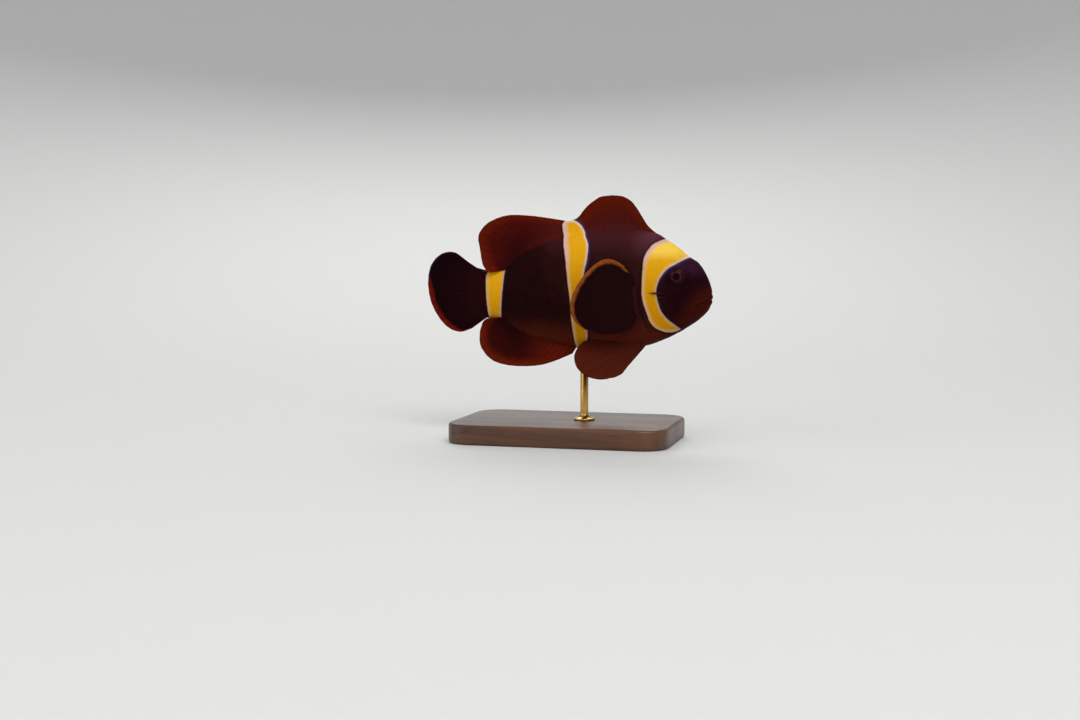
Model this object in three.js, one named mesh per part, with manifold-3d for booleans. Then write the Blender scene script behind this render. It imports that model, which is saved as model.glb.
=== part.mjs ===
// A life-size museum model of a maroon clownfish on a plain display stand.
//
// Millimetres, +Z up. The origin is the middle of the stand's underside. The fish faces +X and its
// right side faces -Y. It is first laid out straight, as x along the body, y to its left and z above
// its axis, and posed() then curves its tail to its left and lifts it to its height on the stand.

import * as THREE from 'three';
import { LoftGeometry } from 'three/addons/geometries/LoftGeometry.js';
import { mergeVertices } from 'three/addons/utils/BufferGeometryUtils.js';
import Module from 'manifold-3d';

const wasm = await Module();
wasm.setup();

// ---------------------------------------------------------------- driving sizes

const axisHeight = 45; // the fish's axis above the table
const gap = 0.3; // between neighbouring pieces
const tailCurve = { from: 6, radius: 190 }; // the back half bends left, round this radius

const snout = 43.4; // x of the snout's tip
const tailRoot = -27; // x where the tail fin begins
const snoutHeight = -1.8; // z of the snout's tip
const noseRounding = 5; // how far back from the tip the blunt nose is rounded
const peduncleFront = -18.4; // x where the trunk ends and the tail's stalk begins

// The body's outline without its fins, as [x, z] at named places.
const backLine = [
  [snout, 5.2], // forehead, before rounding
  [39.4, 8.2], // above the nostril
  [36.0, 10.3],
  [33.1, 12.7], // over the eye
  [30.2, 14.6],
  [26.4, 16.8], // nape, where the dorsal fin begins
  [16.0, 17.9], // highest point of the back
  [0.5, 16.2], // under the fin's notch
  [-11.0, 12.8], // middle of the soft dorsal fin's base
  [-21.6, 7.0], // end of the soft dorsal fin
  [tailRoot, 5.8],
];
const bellyLine = [
  [snout, -7.9], // chin, before rounding
  [40.9, -8.1],
  [39.0, -9.0],
  [36.7, -10.5], // under the jaw's hinge
  [33.8, -12.2],
  [29.8, -14.2], // throat
  [23.6, -16.4], // root of the pelvic fins
  [8.0, -17.6], // lowest point of the belly
  [1.0, -17.2], // vent
  [-12.0, -14.3], // middle of the anal fin's base
  [-20.3, -10.1], // end of the anal fin
  [tailRoot, -8.9],
];
const halfWidth = [
  [snout, 3.6], // lips, before rounding
  [39.6, 4.3],
  [33.5, 5.8], // eyes
  [28.0, 7.0], // cheeks
  [22.0, 7.5], // gill covers
  [12.0, 7.2],
  [0.0, 6.0],
  [-12.0, 4.2],
  [-21.0, 2.7],
  [tailRoot, 1.9],
];
const widestAt = [
  [snout, -1.8], // the height at which a section is widest
  [29.0, -0.6],
  [12.0, -1.4],
  [tailRoot, -1.5],
];

// ---------------------------------------------------------------- curves

// A smooth curve y(x) through landmarks [x, y] that are listed from the snout back.
function through(marks) {
  const slope = marks.map((mark, i) => {
    const before = marks[Math.max(i - 1, 0)];
    const after = marks[Math.min(i + 1, marks.length - 1)];
    return (after[1] - before[1]) / (after[0] - before[0]);
  });
  return (x) => {
    let i = 0;
    while (i < marks.length - 2 && x < marks[i + 1][0]) i++;
    const [x0, y0] = marks[i];
    const [x1, y1] = marks[i + 1];
    const span = x1 - x0;
    const t = THREE.MathUtils.clamp((x - x0) / span, 0, 1);
    const t2 = t * t;
    const t3 = t2 * t;
    return (2 * t3 - 3 * t2 + 1) * y0 + (t3 - 2 * t2 + t) * span * slope[i]
      + (3 * t2 - 2 * t3) * y1 + (t3 - t2) * span * slope[i + 1];
  };
}
const back = through(backLine);
const belly = through(bellyLine);
const width = through(halfWidth);
const widest = through(widestAt);

// Rounds the nose: 0 at the snout's tip, 1 from noseRounding behind it.
function blunt(x) {
  const t = THREE.MathUtils.clamp((snout - x) / noseRounding, 0, 1);
  return Math.sqrt(1 - (1 - t) * (1 - t));
}
const topAt = (x) => snoutHeight + (back(x) - snoutHeight) * blunt(x);
const bottomAt = (x) => snoutHeight + (belly(x) - snoutHeight) * blunt(x);
const middleAt = (x) => snoutHeight + (widest(x) - snoutHeight) * blunt(x);

// Takes a place on the straight fish to where it is on the stand.
function posed(x, y, z) {
  const run = tailCurve.from - x;
  if (run <= 0) return new THREE.Vector3(x, y, z + axisHeight);
  const angle = run / tailCurve.radius;
  const reach = tailCurve.radius - y;
  return new THREE.Vector3(
    tailCurve.from - reach * Math.sin(angle),
    tailCurve.radius - reach * Math.cos(angle),
    z + axisHeight,
  );
}

// ---------------------------------------------------------------- solids

// A manifold-3d solid from a closed three.js geometry.
function solidOf(geometry) {
  const bare = new THREE.BufferGeometry();
  bare.setAttribute('position', geometry.attributes.position);
  bare.setIndex(geometry.index);
  const merged = mergeVertices(bare, 1e-4);
  const corners = merged.index.array;
  const triangles = [];
  for (let i = 0; i < corners.length; i += 3) {
    const [a, b, c] = corners.slice(i, i + 3);
    if (a !== b && b !== c && c !== a) triangles.push(a, b, c);
  }
  return new wasm.Manifold(new wasm.Mesh({
    numProp: 3,
    vertProperties: merged.attributes.position.array,
    triVerts: new Uint32Array(triangles),
  }));
}

// A three.js mesh from a manifold-3d solid. Crumbs that a cut leaves are dropped.
function meshOf(name, solid, material) {
  const [largest] = solid.decompose().sort((a, b) => b.volume() - a.volume());
  const made = largest.getMesh();
  const geometry = new THREE.BufferGeometry();
  geometry.setAttribute('position', new THREE.BufferAttribute(new Float32Array(made.vertProperties), 3));
  geometry.setIndex(new THREE.BufferAttribute(new Uint32Array(made.triVerts), 1));
  geometry.computeVertexNormals();
  const mesh = new THREE.Mesh(geometry, material);
  mesh.name = name;
  return mesh;
}

// A closed loft. Its sections are turned, where need be, to run anticlockwise seen from its far end.
function loft(sections) {
  const [start, next] = sections;
  const facing = new THREE.Vector3();
  const onward = new THREE.Vector3();
  start.forEach((point, i) => {
    const spoke = point.clone().sub(start[0]);
    facing.add(spoke.cross(start[(i + 1) % start.length].clone().sub(start[0])));
    onward.add(next[i]).sub(point);
  });
  const wound = facing.dot(onward) > 0 ? sections : sections.map((ring) => [...ring].reverse());
  return solidOf(new LoftGeometry(wound, { capStart: true, capEnd: true }));
}

// One ring round the body at x, made larger all round by grow.
const ringPoints = 28;
function bodyRing(x, grow) {
  const points = [];
  const middle = middleAt(x);
  const up = topAt(x) + grow - middle;
  const down = middle - (bottomAt(x) - grow);
  const side = width(x) * blunt(x) + grow;
  for (let i = 0; i < ringPoints; i++) {
    const turn = (i / ringPoints) * 2 * Math.PI;
    const rise = Math.sin(turn);
    const out = Math.cos(turn);
    const taper = rise > 0 ? 1.15 : 0.95; // the back is narrower than the belly
    const y = side * Math.sign(out) * Math.abs(out) ** taper;
    points.push(posed(x, -y, middle + (rise > 0 ? up : down) * rise));
  }
  return points;
}

// The body from one x to another. The rings crowd together towards the snout.
function bodyBetween(front, rear, grow = 0, rings = 26) {
  const tip = 0.06;
  const from = Math.min(front, snout - tip);
  const crowd = front > snout - noseRounding ? 1.7 : 1;
  const sections = [];
  for (let i = 0; i <= rings; i++) {
    sections.push(bodyRing(from + (rear - from) * (i / rings) ** crowd, grow));
  }
  return loft(sections);
}

// A box or a cylinder across the fish, placed in the straight fish's own frame.
function across(geometry, x, y, z, tilt = 0) {
  geometry.rotateY(tilt);
  geometry.translate(x, y, z + axisHeight);
  return solidOf(geometry);
}
const disc = (radius, x, z) => across(new THREE.CylinderGeometry(radius, radius, 60, 54), x, 0, z);

// ---------------------------------------------------------------- fins

// A fin that stands in the fish's middle plane. Rays run from its root line to its margin, both
// listed from front to rear as [x, z], and it thins from its root to its edge. From the share of it
// that leanFrom gives, its rear lobe lies over to the fish's right, its edge more than its root.
function medianFin({ root, margin, rays, steps, thickRoot, thickEdge, lean = 0, leanFrom = 0.8 }) {
  const plane = (marks) => new THREE.CatmullRomCurve3(
    marks.map(([x, z]) => new THREE.Vector3(x, 0, z)), false, 'centripetal');
  const rootCurve = plane(root);
  const marginCurve = plane(margin);
  const sections = [];
  for (let i = 0; i <= rays; i++) {
    const from = rootCurve.getPointAt(i / rays);
    const to = marginCurve.getPointAt(i / rays);
    const aside = lean * THREE.MathUtils.smoothstep(i / rays, leanFrom, 1);
    const side = (sign) => {
      const points = [];
      for (let j = 0; j <= steps; j++) {
        const t = j / steps;
        const half = thickEdge / 2 + (thickRoot - thickEdge) / 2 * (1 - t) ** 2;
        const x = from.x + (to.x - from.x) * t;
        const z = from.z + (to.z - from.z) * t;
        points.push(posed(x, sign * half - aside * (0.55 + 0.45 * t), z));
      }
      return points;
    };
    sections.push([...side(1), ...side(-1).reverse()]);
  }
  return loft(sections);
}

// A paired fin: a fan of rays from a short root line to an arc of a tilted ellipse, or of an egg that
// is blunter below. It is laid out flat as [back, up] from the root's middle, then turned out from
// the body and set by place().
function pairedFin({ root, arc, rays, steps, thickRoot, thickEdge, cup, place }) {
  const sections = [];
  for (let i = 0; i <= rays; i++) {
    const share = i / rays;
    const from = new THREE.Vector2().lerpVectors(root[0], root[1], share);
    const turn = THREE.MathUtils.lerp(arc.start, arc.end, share);
    const reach = arc.radii.x * (1 - arc.egg * Math.sin(turn));
    const to = new THREE.Vector2(reach * Math.cos(turn), arc.radii.y * Math.sin(turn))
      .rotateAround(new THREE.Vector2(), arc.tilt).add(arc.middle);
    const side = (sign) => {
      const points = [];
      for (let j = 0; j <= steps; j++) {
        const t = j / steps;
        const half = thickEdge / 2 + (thickRoot - thickEdge) / 2 * (1 - t) ** 2;
        const flat = new THREE.Vector2().lerpVectors(from, to, t);
        points.push(place(flat.x, flat.y, cup * t * t + sign * half));
      }
      return points;
    };
    sections.push([...side(1), ...side(-1).reverse()]);
  }
  return loft(sections);
}

// ---------------------------------------------------------------- colours

const skin = (color) => new THREE.MeshStandardMaterial({ color, roughness: 0.5, metalness: 0 });
const maroon = skin(0x2a0e0c);
const darkMaroon = skin(0x1c090b);
const rust = skin(0x5a1c0c);
const russet = skin(0x4a1d0f);
const horn = skin(0x2b120d);
const eyeball = new THREE.MeshStandardMaterial({ color: 0x160507, roughness: 0.15, metalness: 0 });
const walnut = new THREE.MeshStandardMaterial({ color: 0x3d2417, roughness: 0.45, metalness: 0 });
const brass = new THREE.MeshStandardMaterial({ color: 0xb08d4f, roughness: 0.3, metalness: 1 });

// ---------------------------------------------------------------- the fish

const part = new THREE.Group();
const add = (name, solid, material) => part.add(meshOf(name, solid, material));
const sides = [['right', -1], ['left', 1]]; // the fish's own sides: its right faces -Y

const wholeBody = bodyBetween(snout, tailRoot);
const grownBody = bodyBetween(snout, tailRoot, gap);
const frontBody = bodyBetween(snout, peduncleFront + gap / 2);

// The head ends behind the gill covers, along an arc from nape to throat.
const gillArc = { radius: 23, x: 46, z: -0.8 };
const headEnd = disc(gillArc.radius, gillArc.x, gillArc.z);
const trunkStart = disc(gillArc.radius + gap, gillArc.x, gillArc.z);
let head = frontBody.intersect(headEnd);
let trunk = frontBody.subtract(trunkStart);

// A spine grows backwards from below each eye, over the gill cover.
const spine = { x: 29.6, z: -0.5, length: 4.0, thick: 0.42, tip: 0.25, sink: 0.1, flare: 0.16 };
function cheekSpine(sign, grow) {
  const shape = new THREE.CylinderGeometry(spine.tip + grow, spine.thick + grow, spine.length + grow, 12);
  shape.rotateZ(Math.PI / 2);
  shape.translate(-spine.length / 2, 0, 0);
  shape.rotateZ(-sign * spine.flare);
  return across(shape, spine.x, sign * (width(spine.x) + spine.thick - spine.sink), spine.z);
}

// Each gill cover is a curved plate over the back of the cheek.
const cover = { front: 16.9, thick: 1.1, top: 8.5, bottom: -12.0 };
const band = (rear, front) => disc(rear, gillArc.x, gillArc.z).subtract(disc(front, gillArc.x, gillArc.z));
const coverHeight = (grow) => across(
  new THREE.BoxGeometry(40, 60, cover.top - cover.bottom + 2 * grow), 30, 0, (cover.top + cover.bottom) / 2);
const plateZone = band(gillArc.radius, cover.front).intersect(coverHeight(0));
const inner = bodyBetween(snout, peduncleFront, -cover.thick);
const innermost = bodyBetween(snout, peduncleFront, -cover.thick - gap);
const pocket = band(gillArc.radius + 1, cover.front - gap).intersect(coverHeight(gap)).subtract(innermost);
head = head.subtract(pocket);
for (const [side, sign] of sides) {
  const half = across(new THREE.BoxGeometry(60, 20, 60), 30, sign * 12, 0);
  const plate = wholeBody.subtract(inner).intersect(plateZone).intersect(half);
  add('gill_cover_' + side, plate.subtract(cheekSpine(sign, gap)), maroon);
}

// The eyes are flattened balls that stand a little proud of the cheeks.
const eye = { x: 33.5, y: 4.1, z: 4.2, radius: 2.9, flat: 0.62 };
for (const [side, sign] of sides) {
  const ball = (grow) => {
    const shape = new THREE.SphereGeometry(eye.radius + grow, 16, 11);
    shape.scale(1, eye.flat, 1);
    return across(shape, eye.x, sign * eye.y, eye.z);
  };
  head = head.subtract(ball(gap));
  add('eye_' + side, ball(0), eyeball);
}

// The mouth is a short slit that slopes down from the snout's tip.
const mouth = { x: 41.9, z: -3.3, length: 6, opening: 0.4, slope: 0.42 };
head = head.subtract(across(
  new THREE.BoxGeometry(mouth.length, 12, mouth.opening), mouth.x, 0, mouth.z, -mouth.slope));

for (const [side, sign] of sides) {
  head = head.subtract(cheekSpine(sign, gap));
  add('cheek_spine_' + side, cheekSpine(sign, 0), horn);
}
add('head', head, maroon);

// The stalk of the tail.
add('tail_stalk', bodyBetween(peduncleFront - gap / 2, tailRoot + gap / 2, 0, 5), darkMaroon);

// The dorsal fin has two lobes, of spines in front and of soft rays behind.
const sunk = 1.2; // how far a fin's root lies below the body's surface before it is cut to it
const onBack = (x) => [x, topAt(x) - sunk];
const underBelly = (x) => [x, bottomAt(x) + sunk];
add('dorsal_fin_spiny', medianFin({
  root: [onBack(26.6), onBack(18), onBack(9), onBack(3.2 + gap)],
  margin: [
    [27.2, 16.2], // the first spine hardly leaves the nape
    [25.4, 17.6],
    [24.0, 18.9],
    [22.4, 21.4],
    [20.5, 24.4],
    [18.5, 26.6],
    [15.8, 27.7],
    [13.0, 27.9], // crest
    [9.6, 27.4],
    [5.6, 24.7],
    [2.6, 21.3],
    [gap, 20.2], // notch
  ],
  rays: 18, steps: 3, thickRoot: 2.0, thickEdge: 0.5,
}).subtract(grownBody), rust);
add('dorsal_fin_soft', medianFin({
  root: [onBack(3.2), onBack(-5), onBack(-13), [-19.6, 5.6]],
  margin: [
    [0, 20.2], // notch
    [-5.8, 21.2],
    [-12.1, 22.0],
    [-18.6, 22.2], // crest
    [-22.9, 21.3],
    [-26.9, 19.4],
    [-29.4, 16.1], // hindmost
    [-28.9, 12.4],
    [-27.8, 9.0],
    [-26.3, 6.5],
    [-24.0, 4.8], // heel, beside the stalk
  ],
  rays: 21, steps: 3, thickRoot: 2.0, thickEdge: 0.5, lean: 2.4,
}).subtract(grownBody), rust);
add('anal_fin', medianFin({
  root: [underBelly(3.2), underBelly(-6), underBelly(-13), [-19.6, -8.4]],
  margin: [
    [1.2, -19.2], // tip of the first spine
    [-4.2, -21.5],
    [-8.9, -22.9],
    [-15.4, -23.4], // lowest
    [-20.4, -23.1],
    [-24.3, -22.1],
    [-27.0, -20.2],
    [-28.9, -17.4],
    [-29.1, -14.9], // hindmost
    [-28.6, -12.2],
    [-27.3, -10.2],
    [-25.7, -9.2],
    [-23.7, -8.8], // heel, beside the stalk
  ],
  rays: 19, steps: 3, thickRoot: 1.8, thickEdge: 0.5, lean: 2.2, leanFrom: 0.85,
}).subtract(grownBody), rust);
add('trunk', trunk, maroon);

// The tail fin is a rounded fan.
add('tail_fin', medianFin({
  root: [
    [tailRoot + 1.4, topAt(tailRoot) - 0.5],
    [tailRoot, -1.5],
    [tailRoot + 1.4, bottomAt(tailRoot) + 0.6],
  ],
  margin: [
    [-30.2, 6.3],
    [-32.0, 6.9],
    [-34.6, 8.9],
    [-37.4, 10.8], // upper corner
    [-40.4, 11.0],
    [-43.4, 9.8],
    [-46.0, 7.0],
    [-47.4, 2.6], // hindmost
    [-47.3, -1.8],
    [-46.2, -5.4],
    [-44.2, -8.8],
    [-41.6, -11.5],
    [-38.6, -13.1],
    [-35.3, -13.5], // lower corner
    [-31.4, -12.3],
  ],
  rays: 24, steps: 4, thickRoot: 3.0, thickEdge: 0.5,
}).subtract(bodyBetween(snout, tailRoot - gap, gap)), darkMaroon);

// The pectoral fins fan out behind the gill covers, swung away from the flanks.
const pectoral = { x: 22.2, z: -2.8, swing: 0.36, sink: 0.6 };
for (const [side, sign] of sides) {
  const place = (alongFin, up, off) => {
    const c = Math.cos(pectoral.swing);
    const s = Math.sin(pectoral.swing);
    const x = pectoral.x + alongFin * c - off * s * 0.4;
    const y = width(pectoral.x) - pectoral.sink - alongFin * s + off * c;
    return posed(x, sign * y, pectoral.z + up);
  };
  add('pectoral_fin_' + side, pairedFin({
    root: [new THREE.Vector2(0.4, 4.3), new THREE.Vector2(-0.4, -4.9)],
    arc: {
      middle: new THREE.Vector2(-8.3, 1.2), radii: new THREE.Vector2(11.0, 10.9), tilt: 0.05, egg: 0.33,
      start: THREE.MathUtils.degToRad(50), end: THREE.MathUtils.degToRad(298),
    },
    rays: 22, steps: 3, thickRoot: 1.5, thickEdge: 0.5, cup: -0.8, place,
  }).subtract(grownBody), darkMaroon);
}

// The pelvic fins hang from the breast, splayed apart. The left one is folded further back.
const pelvic = {
  x: 22.8, y: 2.3, z: -15.1,
  right: { splay: 0.5, toe: 0.19, fold: 0 },
  left: { splay: 0.35, toe: 0.1, fold: 0.2 },
};
const pelvicHinge = new THREE.Vector2(-0.6, 0.3);
for (const [side, sign] of sides) {
  const { splay, toe, fold } = pelvic[side];
  const place = (alongFin, up, off) => {
    const flat = new THREE.Vector2(alongFin, up).rotateAround(pelvicHinge, -fold);
    const y = pelvic.y - flat.y * Math.sin(splay) + off * Math.cos(splay) - flat.x * toe;
    return posed(pelvic.x + flat.x, sign * y, pelvic.z + flat.y * Math.cos(splay) + off * Math.sin(splay));
  };
  add('pelvic_fin_' + side, pairedFin({
    root: [new THREE.Vector2(1.6, 0.4), new THREE.Vector2(-2.8, 0.2)],
    arc: {
      middle: new THREE.Vector2(-10.0, -4.8), radii: new THREE.Vector2(8.8, 7.6), tilt: 0, egg: 0,
      start: THREE.MathUtils.degToRad(-52), end: THREE.MathUtils.degToRad(-222),
    },
    rays: 16, steps: 3, thickRoot: 1.6, thickEdge: 0.5, cup: 0.5, place,
  }).subtract(grownBody), russet);
}

// ---------------------------------------------------------------- the stand

const plinth = { length: 66, width: 42, height: 6, corner: 7, bevel: 0.9 };
const rod = { x: 5.0, radius: 1.2, footRadius: 3.2, footHeight: 2.2 };

const halfLength = plinth.length / 2 - plinth.corner - plinth.bevel;
const halfDepth = plinth.width / 2 - plinth.corner - plinth.bevel;
const outline = new THREE.Shape();
outline.absarc(halfLength, halfDepth, plinth.corner, 0, Math.PI / 2);
outline.absarc(-halfLength, halfDepth, plinth.corner, Math.PI / 2, Math.PI);
outline.absarc(-halfLength, -halfDepth, plinth.corner, Math.PI, 1.5 * Math.PI);
outline.absarc(halfLength, -halfDepth, plinth.corner, 1.5 * Math.PI, 2 * Math.PI);
const board = new THREE.ExtrudeGeometry(outline, {
  depth: plinth.height - 2 * plinth.bevel, bevelThickness: plinth.bevel, bevelSize: plinth.bevel,
  bevelSegments: 2, curveSegments: 6,
});
board.translate(0, 0, plinth.bevel);
add('stand_base', solidOf(board), walnut);

// One brass rod with a flared foot carries the fish by its belly.
const rodTop = axisHeight - 8;
const rodShape = new THREE.LatheGeometry([
  [0, 0], [rod.footRadius, 0], [rod.footRadius, 0.6], [rod.footRadius - 0.5, 1.1],
  [rod.radius + 0.5, 1.6], [rod.radius, rod.footHeight], [rod.radius, rodTop - plinth.height],
  [0, rodTop - plinth.height],
].map(([r, h]) => new THREE.Vector2(r, h)), 24);
rodShape.rotateX(Math.PI / 2);
rodShape.translate(rod.x, 0, plinth.height);
add('stand_rod', solidOf(rodShape).subtract(grownBody), brass);

export default part;
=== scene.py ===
# The maroon clownfish on its stand: one skin with its scales, rayed fins, eyes, cheek spines, walnut
# and brass. The fish is laid out straight in millimetres: x along the body to the snout, y to its left
# and z above its axis. posed() then curves the tail and lifts the fish onto its rod, as the solids do.

import math
import random
from bisect import bisect_right
from functools import lru_cache

import bmesh
import bpy
from mathutils import Matrix, Vector


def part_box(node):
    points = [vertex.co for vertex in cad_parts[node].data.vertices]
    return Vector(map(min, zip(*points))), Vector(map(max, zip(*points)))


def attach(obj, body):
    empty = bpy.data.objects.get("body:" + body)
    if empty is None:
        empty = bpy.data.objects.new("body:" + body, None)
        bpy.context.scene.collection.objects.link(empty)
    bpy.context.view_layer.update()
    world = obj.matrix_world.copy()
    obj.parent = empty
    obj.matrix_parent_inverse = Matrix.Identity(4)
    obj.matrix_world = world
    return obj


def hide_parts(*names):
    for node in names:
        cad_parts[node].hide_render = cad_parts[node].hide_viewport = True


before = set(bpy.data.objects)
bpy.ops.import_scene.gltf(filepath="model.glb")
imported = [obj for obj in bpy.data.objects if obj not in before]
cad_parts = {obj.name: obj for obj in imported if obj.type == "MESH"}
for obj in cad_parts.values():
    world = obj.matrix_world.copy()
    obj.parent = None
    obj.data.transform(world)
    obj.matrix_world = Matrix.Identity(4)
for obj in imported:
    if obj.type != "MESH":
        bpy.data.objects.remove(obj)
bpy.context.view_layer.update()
mm = 0.001
sides = {"right": -1, "left": 1}  # the fish's two sides, and the sign of y there
print("frame with", len(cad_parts), "solids")


def middleOf(node):
    low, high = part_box(node)
    return (low + high) / 2 / mm


# ---- the straight fish ----

body = {
    "snout": 43.4,  # x of the snout's tip
    "snoutHeight": -1.8,
    "noseRounding": 5.0,  # the blunt nose is rounded over this length
    "tailRoot": -27.0,  # x where the tail fin begins
    "stalkEnd": -30.2,  # x where the skin has thinned out over the tail fin
    "curveFrom": 6.0,  # behind this x the body bends to its left
    "curveRadius": 190.0,
    "coat": 0.16,  # depth of the scales
    "eyeHeight": 4.2,
}
body["noseEnd"] = body["snout"] - body["noseRounding"]
body["axisHeight"] = middleOf("eye_right").z - body["eyeHeight"]
eye = {
    "x": middleOf("eye_right").x,
    "y": -middleOf("eye_right").y,
    "z": body["eyeHeight"],
    "radius": 2.9,
    "flat": 0.62,
    "cornea": 0.12,  # how far the clear front stands out
    "opening": 2.45,  # radius of the hole in the skin
    "lid": 4.0,  # the skin falls to the eyeball from this far out
    "lidThick": 0.07,
    "rimWidth": 0.15,  # the flat rim round the hole
    "tuck": 0.5,  # inside the rim the skin turns in over this width
    "tuckDepth": 1.8,
    "meridians": 64,
    "parallels": 44,
}

# [x, z] down the back and the belly, and [x, half width], from the snout to the tail's root
backLine = [(43.4, 5.2), (39.4, 8.2), (36, 10.3), (33.1, 12.7), (30.2, 14.6), (26.4, 16.8), (16, 17.9),
            (0.5, 16.2), (-11, 12.8), (-21.6, 7), (-27, 5.8), (-30.2, 5.5)]
bellyLine = [(43.4, -7.9), (40.9, -8.1), (39, -9), (36.7, -10.5), (33.8, -12.2), (29.8, -14.2),
             (23.6, -16.4), (8, -17.6), (1, -17.2), (-12, -14.3), (-20.3, -10.1), (-27, -8.9), (-30.2, -8.6)]
halfWidth = [(43.4, 3.6), (39.6, 4.3), (33.5, 5.8), (28, 7), (22, 7.5), (12, 7.2), (0, 6), (-12, 4.2),
             (-21, 2.7), (-27, 1.9), (-28.6, 1.15), (-30.2, 0.15)]
widestAt = [(43.4, -1.8), (29, -0.6), (12, -1.4), (-27, -1.5), (-30.2, -1.5)]


def through(marks):
    # a smooth curve through landmarks, listed with their first number falling
    last = len(marks) - 1
    slopes = []
    for i in range(last + 1):
        before, after = marks[max(i - 1, 0)], marks[min(i + 1, last)]
        slopes.append((after[1] - before[1]) / (after[0] - before[0]))

    def curve(at):
        i = 0
        while i < last - 1 and at < marks[i + 1][0]:
            i += 1
        (x0, y0), (x1, y1) = marks[i], marks[i + 1]
        span = x1 - x0
        t = min(max((at - x0) / span, 0), 1)
        t2, t3 = t * t, t * t * t
        return ((2 * t3 - 3 * t2 + 1) * y0 + (t3 - 2 * t2 + t) * span * slopes[i]
                + (3 * t2 - 2 * t3) * y1 + (t3 - t2) * span * slopes[i + 1])
    return curve


backAt, bellyAt, widthAt, widestHeight = (through(marks) for marks in
                                          (backLine, bellyLine, halfWidth, widestAt))


def smooth(low, high, value):
    t = min(max((value - low) / (high - low), 0), 1)
    return t * t * (3 - 2 * t)


def within(value, low, full, fading, high):
    # 1 from full to fading, 0 below low and above high, and smooth between
    return smooth(low, full, value) * (1 - smooth(fading, high, value))


def bump(offset, width):
    return math.exp(-(offset / width) ** 2)


def measured(points):
    # find(share) says which stretch of a line a share of its length falls in, and how far along that
    run = [0.0]
    for first, second in zip(points, points[1:]):
        run.append(run[-1] + (second - first).length)

    def find(share):
        at = share * run[-1]
        i = min(bisect_right(run, at), len(points) - 1) - 1
        return i, (at - run[i]) / (run[i + 1] - run[i])
    return find, run[-1]


def posed(place):
    run = body["curveFrom"] - place.x
    if run <= 0:
        return Vector((place.x, place.y, place.z + body["axisHeight"])) * mm
    angle = run / body["curveRadius"]
    reach = body["curveRadius"] - place.y
    return Vector((body["curveFrom"] - reach * math.sin(angle),
                   body["curveRadius"] - reach * math.cos(angle), place.z + body["axisHeight"])) * mm


@lru_cache(maxsize=None)
def section(x):
    # middle height, reach up, reach down and half width of the solid body at x
    t = min(max((body["snout"] - x) / body["noseRounding"], 0), 1)
    blunt = math.sqrt(1 - (1 - t) ** 2)
    tip = body["snoutHeight"]
    middle = tip + (widestHeight(x) - tip) * blunt
    top = tip + (backAt(x) - tip) * blunt
    bottom = tip + (bellyAt(x) - tip) * blunt
    return middle, top - middle, middle - bottom, widthAt(x) * blunt


def ringPoint(x, turn):
    # turn runs round the body: 0 on its right side, a quarter at the back
    middle, up, down, side = section(x)
    rise, out = math.sin(turn), math.cos(turn)
    taper = 1.15 if rise > 0 else 0.95
    y = -side * math.copysign(abs(out) ** taper, out)
    return Vector((x, y, middle + (up if rise > 0 else down) * rise))


def turnAt(x, z, sign):
    # the turn of a place on one flank, given its height
    middle, up, down, _ = section(round(x, 2))
    rise = (z - middle) / (up if z > middle else down)
    turn = math.asin(min(max(rise, -1), 1))
    return turn if sign < 0 else math.pi - turn


# ---- relief of the skin ----

# heights and stretches that fade in and out are given as for within()
gill = {
    "x": 46.0,  # the edges of gill cover and cheek are arcs round this place
    "z": -0.8,
    "edge": 23.0,  # radius of the gill cover's edge
    "lift": 0.3,  # the cover rises to its edge, over this stretch
    "rise": (-5, -0.4, 0, 0.42),
    "tall": (-13.4, -10, 6.5, 9.5),
    "slit": 0.34,  # and a slit follows it
    "slitAt": 0.42,
    "slitWidth": 0.36,
    "cheek": 16.7,  # the same for the cheek
    "cheekLift": 0.12,
    "cheekRise": (-3, 0, 0, 0.3),
    "cheekTall": (-10, -7.5, 3.0, 5.6),
    "cheekSlit": 0.2,
    "cheekSlitAt": 0.3,
    "cheekSlitWidth": 0.28,
    "front": 34,  # neither lies ahead of this x
}
# straight grooves, each through a place x, z: the lower limb of the cheek's edge, and creases below the eye
limb = {"x": 32, "z": -9.2, "slope": 0.33, "depth": 0.14, "width": 0.3, "long": (30.6, 32, 36.4, 38)}
crease = {"x": 35.2, "slope": 0.25, "depth": 0.1, "width": 0.16, "long": (33.4, 34.4, 36.4, 37.4)}
grooves = [limb, *({"z": z, **crease} for z in (0.3, -0.55, -1.4))]
mouth = {
    "x": 41.9,
    "z": -3.3,
    "slope": 0.4466,
    "corner": 39.2,
    "cornerDepth": 0.28,
    "cornerWidth": 0.5,
    # upper and lower lip, mouth line and a crease past each lip: distance over the line, width and height
    "folds": [(0.72, 0.4, 0.1), (-0.7, 0.42, 0.085), (0, 0.2, -0.3), (1.55, 0.26, -0.13),
              (-1.5, 0.28, -0.1)],
}
nostril = {"x": 39.2, "z": 4.0, "radius": 0.34, "depth": 0.4, "brim": 0.12, "brimAt": 0.5, "brimWidth": 0.2}
# the fleshy root of a pectoral fin, which the gill cover partly hides
paddle = {"x": 21.9, "z": -3.0, "lift": 0.55, "width": 1.7, "half": (3.4, 5.8), "hidden": 0.2}
# scales leave off where the snout begins, and round the eye
bare = {"snout": (34.8, 37.0), "eye": (3.4, 4.4)}


def gillRelief(away, z):
    behind, past = away - gill["edge"], away - gill["cheek"]
    cover = (gill["lift"] * within(behind, *gill["rise"])
             - gill["slit"] * bump(behind - gill["slitAt"], gill["slitWidth"]))
    cheek = (gill["cheekLift"] * within(past, *gill["cheekRise"])
             - gill["cheekSlit"] * bump(past - gill["cheekSlitAt"], gill["cheekSlitWidth"]))
    return cover * within(z, *gill["tall"]) + cheek * within(z, *gill["cheekTall"])


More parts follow.
